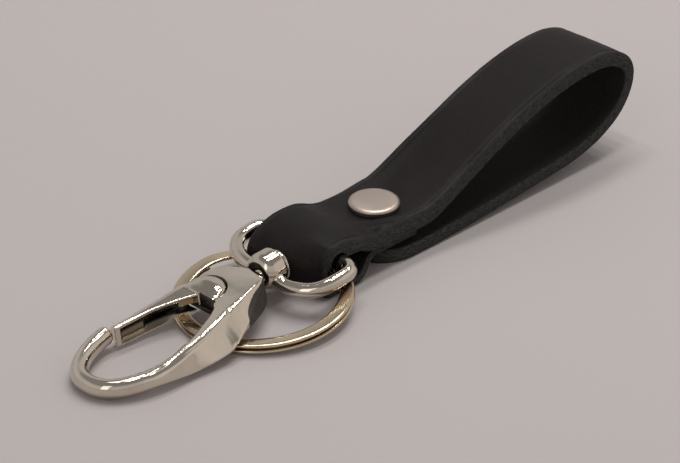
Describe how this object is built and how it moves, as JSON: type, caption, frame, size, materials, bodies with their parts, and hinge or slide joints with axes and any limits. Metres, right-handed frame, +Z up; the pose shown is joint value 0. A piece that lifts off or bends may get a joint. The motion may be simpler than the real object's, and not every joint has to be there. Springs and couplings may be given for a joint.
{
  "type": "leather key chain",
  "caption": "Folded leather strap loop closed by a cap rivet, with a swivel snap hook on a D-shaped bail and a split key ring held in the strap's front fold.",
  "frame": {"origin": "on the floor under the rivet's axis, at the middle of the rivet's lower cap", "axes": "+X along the strap to its loop, the hook points to -X; +Y across the strap to the gate's side; +Z up"},
  "size_m": [0.157, 0.038, 0.0277],
  "materials": {
    "leather": "matte black, fine grain",
    "rivet_metal": "satin nickel plate",
    "hook_metal": "polished nickel plate",
    "spring_steel": "drawn wire",
    "ring_metal": "polished plate, slightly yellow"
  },
  "bodies": {
    "strap": {"leather_strap": "leather", "rivet_top_cap": "rivet_metal", "rivet_socket": "rivet_metal", "rivet_post": "rivet_metal", "rivet_bottom_cap": "rivet_metal"},
    "bail": {"swivel_bail": "hook_metal"},
    "hook": {"swivel_stud": "hook_metal", "hook_body": "hook_metal", "gate_pivot_pin": "hook_metal", "gate_spring": "spring_steel"},
    "gate": {"gate_lever": "hook_metal"},
    "key_ring": {"split_ring": "ring_metal"}
  },
  "joints": [
    {"name": "bail_swing", "type": "hinge", "parent": "strap", "child": "bail", "pos_m": [-0.0196, 0.0001, 0.00785], "axis": [-0.0384, 0.9993, 0], "range_deg": [0, 120]},
    {"name": "hook_swivel", "type": "hinge", "parent": "bail", "child": "hook", "pos_m": [-0.03155, -0.00036, 0.0068], "axis": [0.9948, 0.0382, 0.0944], "range_deg": [-5, 5]},
    {"name": "gate_open", "type": "hinge", "parent": "hook", "child": "gate", "pos_m": [-0.04647, 0.00177, 0.0054], "axis": [-0.0943, -0.0036, 0.9955], "range_deg": [0, 28], "stiffness_Nm_per_rad": 0.02, "springref_deg": -28.65},
    {"name": "ring_spin", "type": "hinge", "parent": "strap", "child": "key_ring", "pos_m": [-0.03431, -0.002, 0.0027], "axis": [-0.0869, 0, 0.9962], "continuous": true}
  ]
}
